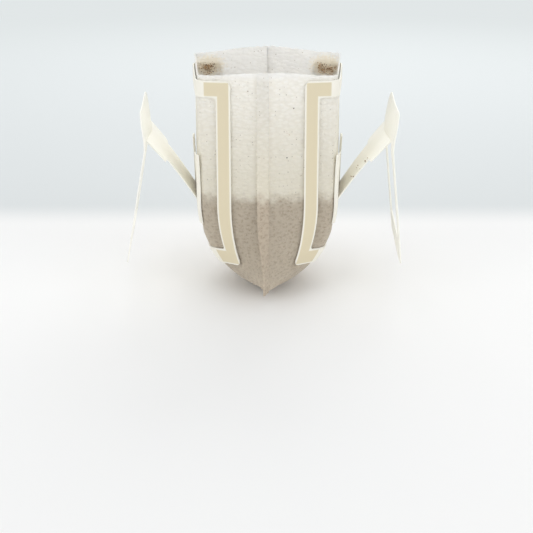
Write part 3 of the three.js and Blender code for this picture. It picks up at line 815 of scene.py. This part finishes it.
# The coffee.
# About ten grams of medium-ground coffee, which has settled in the bottom of the pouch. Grains cling to
# the cloth at the back corners of the mouth, and a little dust lies on the bag and on a tongue.
EDGE_Z, HEAP_Z = -11.0, -8.5
HEAP_GAP, GRAIN_GAP = 0.5, 1.1
GRAIN_POINTS = np.array([
    (0, 0, 1),
    (0.89, 0, 0.45), (0.28, 0.85, 0.45), (-0.72, 0.53, 0.45), (-0.72, -0.53, 0.45), (0.28, -0.85, 0.45),
    (0.72, 0.53, -0.45), (-0.28, 0.85, -0.45), (-0.89, 0, -0.45), (-0.28, -0.85, -0.45),
    (0.72, -0.53, -0.45),
    (0, 0, -1),
])
GRAIN_FACES = np.array([
    (0, 1, 2), (0, 2, 3), (0, 3, 4), (0, 4, 5), (0, 5, 1),
    (1, 6, 2), (2, 6, 7), (2, 7, 3), (3, 7, 8), (3, 8, 4),
    (4, 8, 9), (4, 9, 5), (5, 9, 10), (5, 10, 1), (1, 10, 6),
    (6, 11, 7), (7, 11, 8), (8, 11, 9), (9, 11, 10), (10, 11, 6),
])


def coffee_material():
    """Roast coffee: each grain has its own brown, from nearly black to tan, with a broken face."""
    material, tree, shader = nodes_of("ground_coffee")
    tone = add(tree, "ShaderNodeAttribute", attribute_name="tone").outputs["Fac"]
    place = add(tree, "ShaderNodeTexCoord").outputs["Object"]
    broken = noise(tree, place, 2600.0, 3.0)
    colour = tint(tree, tone, (0.045, 0.020, 0.010), (0.66, 0.45, 0.26))
    colour = tint(tree, ramp(tree, broken, 0.55, 0.75), colour, (0.20, 0.115, 0.06))
    dress(tree, shader, {"Roughness": 0.62}, colour, broken, 0.6, 0.00008)
    return material


def grains(name, centres, sizes, tones, seed):
    """Broken grains: an icosahedron at each centre, turned, stretched and with its corners moved."""
    draw = np.random.default_rng(seed)
    count, corners = len(centres), len(GRAIN_POINTS)
    turn, _ = np.linalg.qr(draw.normal(size=(count, 3, 3)))
    broken = GRAIN_POINTS * draw.uniform(0.6, 1.25, (count, corners, 1))
    shape = broken * draw.uniform(0.6, 1.2, (count, 1, 3))
    points = np.einsum("nij,nkj->nki", turn, shape) * sizes[:, None, None] / 2 + centres[:, None]
    faces = (GRAIN_FACES[None] + (np.arange(count) * corners)[:, None, None]).reshape(-1, 3)
    mesh = bpy.data.meshes.new(name)
    mesh.from_pydata((points.reshape(-1, 3) * MM).tolist(), [], faces.tolist())
    tone = mesh.attributes.new("tone", "FLOAT", "POINT")
    tone.data.foreach_set("value", np.repeat(tones, corners).astype(np.float32))
    mesh.materials.append(coffee)
    piece = placed(name, mesh)
    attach(piece, "root")


def heap_z(x, y):
    """The heap's top: highest in the middle, lower at the walls, with small hollows."""
    middle = 1 - smooth(np.hypot(x / 20, y / 17), 0, 1)
    return EDGE_Z + (HEAP_Z - EDGE_Z) * middle + 0.35 * waves(x, y, 61, 7, 0.05, 0.2)


def heap_mesh(columns=120, rows=40, rings=26):
    """The settled coffee: the wall's inside from the bottom up, closed by rings drawn in over the top."""
    share, side = round_the_bag(columns)
    depth = np.sin(np.linspace(np.pi / 2 * 0.8, 0, rows))[:, None]
    z = BEND_Z + (FOLD_Z - BEND_Z) * depth + 0 * share
    z = np.concatenate([z, np.full((1, len(share)), EDGE_Z)])
    place = wall(np.broadcast_to(share, z.shape), z, np.full(z.shape, -CLOTH - HEAP_GAP))
    place[..., 0] = np.maximum(place[..., 0], 0) * side
    place[..., 1] *= 1 - 0.1 * smooth(-z, 28, 38)
    bottom_line = place[:1] * (0, 1, 1) - (0, 0, 0.3)
    inward = np.cos(np.linspace(0, np.pi / 2, rings + 1))[1:, None, None]
    top = place[-1][None] * inward
    top[..., 2] = heap_z(top[..., 0], top[..., 1])
    place = np.concatenate([bottom_line, place, top])
    count = place.shape[1]
    index = np.arange(place.shape[0] * count).reshape(-1, count)
    beside = np.roll(index, -1, axis=1)
    quads = np.stack([index[:-1], beside[:-1], beside[1:], index[1:]], -1).reshape(-1, 4)
    return place, quads


coffee = coffee_material()
points, quads = heap_mesh()
heap = mesh_piece("settled_coffee", points, quads, [coffee])
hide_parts("coffee_grounds")
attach(heap, "root")

draw = np.random.default_rng(71)
TOP_GRAINS = 5200
share, side = draw.random(TOP_GRAINS), draw.choice([-1, 1], TOP_GRAINS)
rim = wall(share, np.full(TOP_GRAINS, EDGE_Z), np.full(TOP_GRAINS, -CLOTH - GRAIN_GAP))
spot = rim[:, :2] * np.sqrt(draw.random(TOP_GRAINS))[:, None]
spot[:, 0] *= side
size = draw.gamma(6.0, 0.11, TOP_GRAINS) + 0.2
top = np.column_stack([spot, heap_z(spot[:, 0], spot[:, 1]) + 0.1 * size])
grains("coffee_grains", top, size, draw.beta(1.3, 4.0, TOP_GRAINS), 72)


CLUMPS = 9


def clinging(count, centre, side, seed):
    """Places on the inner face of the back wall: a few clumps about a centre, each spread at random, with
    more spread along the wall than up it. The centre is a length from the back corner and a height."""
    pick = np.random.default_rng(seed)
    clumps = pick.normal(0, 1, (CLUMPS, 2)) * (1.3, 0.6)
    spread = clumps[pick.integers(0, CLUMPS, count)] + pick.normal(0, 1, (count, 2)) * (1.0, 0.55)
    spread = spread[(np.abs(spread[:, 0]) < 3.0) & (np.abs(spread[:, 1]) < 2.0)]
    share = CORNER_SHARES[1] + (centre[0] + spread[:, 0]) / FLAT_WIDTH
    size = pick.gamma(5.0, 0.05, len(spread)) + 0.1
    place = wall(share, centre[1] + spread[:, 1], -CLOTH - 0.3 * size - 0.05)
    place[:, 0] *= side
    return place, size


patches = [clinging(170, (3.3, 20.1), -1, 81), clinging(195, (3.5, 20.2), 1, 82)]
places, sizes = (np.concatenate([p[i] for p in patches]) for i in (0, 1))
grains("clinging_coffee", places, sizes * 0.85, draw.beta(3.0, 1.2, len(sizes)), 83)

FRONT_GRAINS = 36
DUST_SHARES, DUST_HEIGHTS = (0.05, 0.30), (-9, 22.0)
share, z = draw.uniform(*DUST_SHARES, FRONT_GRAINS), draw.uniform(*DUST_HEIGHTS, FRONT_GRAINS)
size = draw.gamma(4.0, 0.045, FRONT_GRAINS) + 0.08
front_dust = wall(share, z, 0.3 * size)
front_dust[:, 0] *= draw.choice([-1, 1], FRONT_GRAINS)
keep = np.abs(share * FLAT_WIDTH - CARD_CENTRE) > FRAME_HALF + 0.5

TONGUE_GRAINS = 9
across, down = draw.normal(-8, 2.5, TONGUE_GRAINS), draw.normal(20, 3.0, TONGUE_GRAINS)
_, _, tongue_surface = hanger_surfaces("right")
lying_size = draw.gamma(4.0, 0.05, TONGUE_GRAINS) + 0.12
across = across.clip(-NECK_HALF + 0.5, NECK_HALF)
lying = tongue_surface(across, down)
lying -= normal_of(tongue_surface, across, down) * 0.3 * lying_size[:, None]
dust = np.concatenate([front_dust[keep], lying])
dust_size = np.concatenate([size[keep], lying_size])
grains("coffee_dust", dust, dust_size, draw.beta(1.2, 1.6, len(dust)), 84)


# The stage.
# A pale floor under the fold of the pouch, which turns to the light grey of a backdrop behind the bag.
BACKDROP = (0.76, 0.80, 0.805)
NEAR_FLOOR, FAR_FLOOR = (0.90, 0.90, 0.895), (0.69, 0.72, 0.725)
FLOOR_HALF = 3.0


def floor_material():
    """White paper that fades to pale grey behind the bag. Far out it shows the backdrop's own colour."""
    material, tree, shader = nodes_of("stage_paper")
    place = add(tree, "ShaderNodeTexCoord").outputs["Object"]
    back = add(tree, "ShaderNodeSeparateXYZ", {"Vector": place}).outputs["Y"]
    colour = tint(tree, ramp(tree, back, 0.050, 0.078, "SMOOTHSTEP"), NEAR_FLOOR, FAR_FLOOR)
    dress(tree, shader, {"Roughness": 0.9, "Specular IOR Level": 0.1}, colour)
    distance = add(tree, "ShaderNodeVectorMath", {0: place}, operation="LENGTH").outputs["Value"]
    seen = add(tree, "ShaderNodeLightPath").outputs["Is Camera Ray"]
    far = calc(tree, "MULTIPLY", ramp(tree, distance, 0.20, 0.60, "SMOOTHSTEP"), seen)
    backdrop = add(tree, "ShaderNodeEmission", {"Color": (*BACKDROP, 1), "Strength": 1.0})
    paper = add(tree, "ShaderNodeMixShader", {0: far, 1: shader.outputs[0], 2: backdrop.outputs[0]})
    tree.links.new(paper.outputs[0], tree.nodes["Material Output"].inputs["Surface"])
    return material


FLOOR_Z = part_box("filter_pouch")[0][2] - 0.0004
mesh = bpy.data.meshes.new("stage_floor")
corners = [(x * FLOOR_HALF, y * FLOOR_HALF, FLOOR_Z) for x, y in ((-1, -1), (1, -1), (1, 1), (-1, 1))]
mesh.from_pydata(corners, [], [(0, 1, 2, 3)])
mesh.materials.append(floor_material())
floor = placed("stage_floor", mesh)


def studio_world():
    """A soft white sky as a fill light, and the same pale grey as the backdrop where a ray sees it."""
    world = bpy.data.worlds.new("studio")
    world.use_nodes = True
    tree = world.node_tree
    sky = tree.nodes["Background"]
    sky.inputs["Color"].default_value = (0.98, 0.99, 1.0, 1)
    sky.inputs["Strength"].default_value = 0.68
    backdrop = add(tree, "ShaderNodeBackground", {"Color": (*BACKDROP, 1), "Strength": 1.0})
    rays = add(tree, "ShaderNodeLightPath").outputs
    seen = calc(tree, "MAXIMUM", rays["Is Camera Ray"], rays["Is Glossy Ray"])
    seen = calc(tree, "MAXIMUM", seen, rays["Is Transmission Ray"])
    either = add(tree, "ShaderNodeMixShader", {0: seen, 1: sky.outputs[0], 2: backdrop.outputs[0]})
    tree.links.new(either.outputs[0], tree.nodes["World Output"].inputs["Surface"])
    return world


bpy.context.scene.world = studio_world()


def soft_light(name, place, size, watts, colour=(1, 1, 1)):
    """A square area lamp at a place, turned to face the origin, and not seen itself."""
    lamp = bpy.data.lights.new(name, "AREA")
    lamp.size, lamp.energy, lamp.color = size, watts, colour
    light = placed(name, lamp)
    light.location = place
    tilt = np.arctan2(np.hypot(place[0], place[1]), place[2])
    light.rotation_euler = (tilt, 0, np.arctan2(-place[1], -place[0]) - np.pi / 2)
    light.visible_camera = False


soft_light("top_softbox", (-0.15, 0.10, 0.9), 0.9, 1.0)
soft_light("left_softbox", (-0.68, -0.50, 0.36), 0.6, 1.6)
soft_light("right_softbox", (0.68, -0.50, 0.36), 0.6, 1.6)
soft_light("front_softbox", (0.10, -0.85, 0.42), 0.7, 0.4, (1, 0.99, 0.97))
soft_light("back_softbox", (0.10, 0.75, 0.30), 0.6, 3.0)


# The camera.
# It stands in front of the bag at 35 cm and looks down on it by 19.5 degrees, with a long lens and no shift.
FOCAL_PIXELS, PICTURE_PIXELS, SENSOR = 1197.0, 533.0, 36.0
CAMERA_PLACE, CAMERA_DIP = (-0.0003, -0.3409, 0.0834), 0.3405
camera_data = bpy.data.cameras.new("camera")
camera_data.sensor_width = SENSOR
camera_data.lens = SENSOR * FOCAL_PIXELS / PICTURE_PIXELS
camera = placed("camera", camera_data)
camera.location = CAMERA_PLACE
camera.rotation_euler = (np.pi / 2 - CAMERA_DIP, 0, 0)
bpy.context.scene.camera = camera
bpy.context.scene.view_settings.view_transform = "Standard"
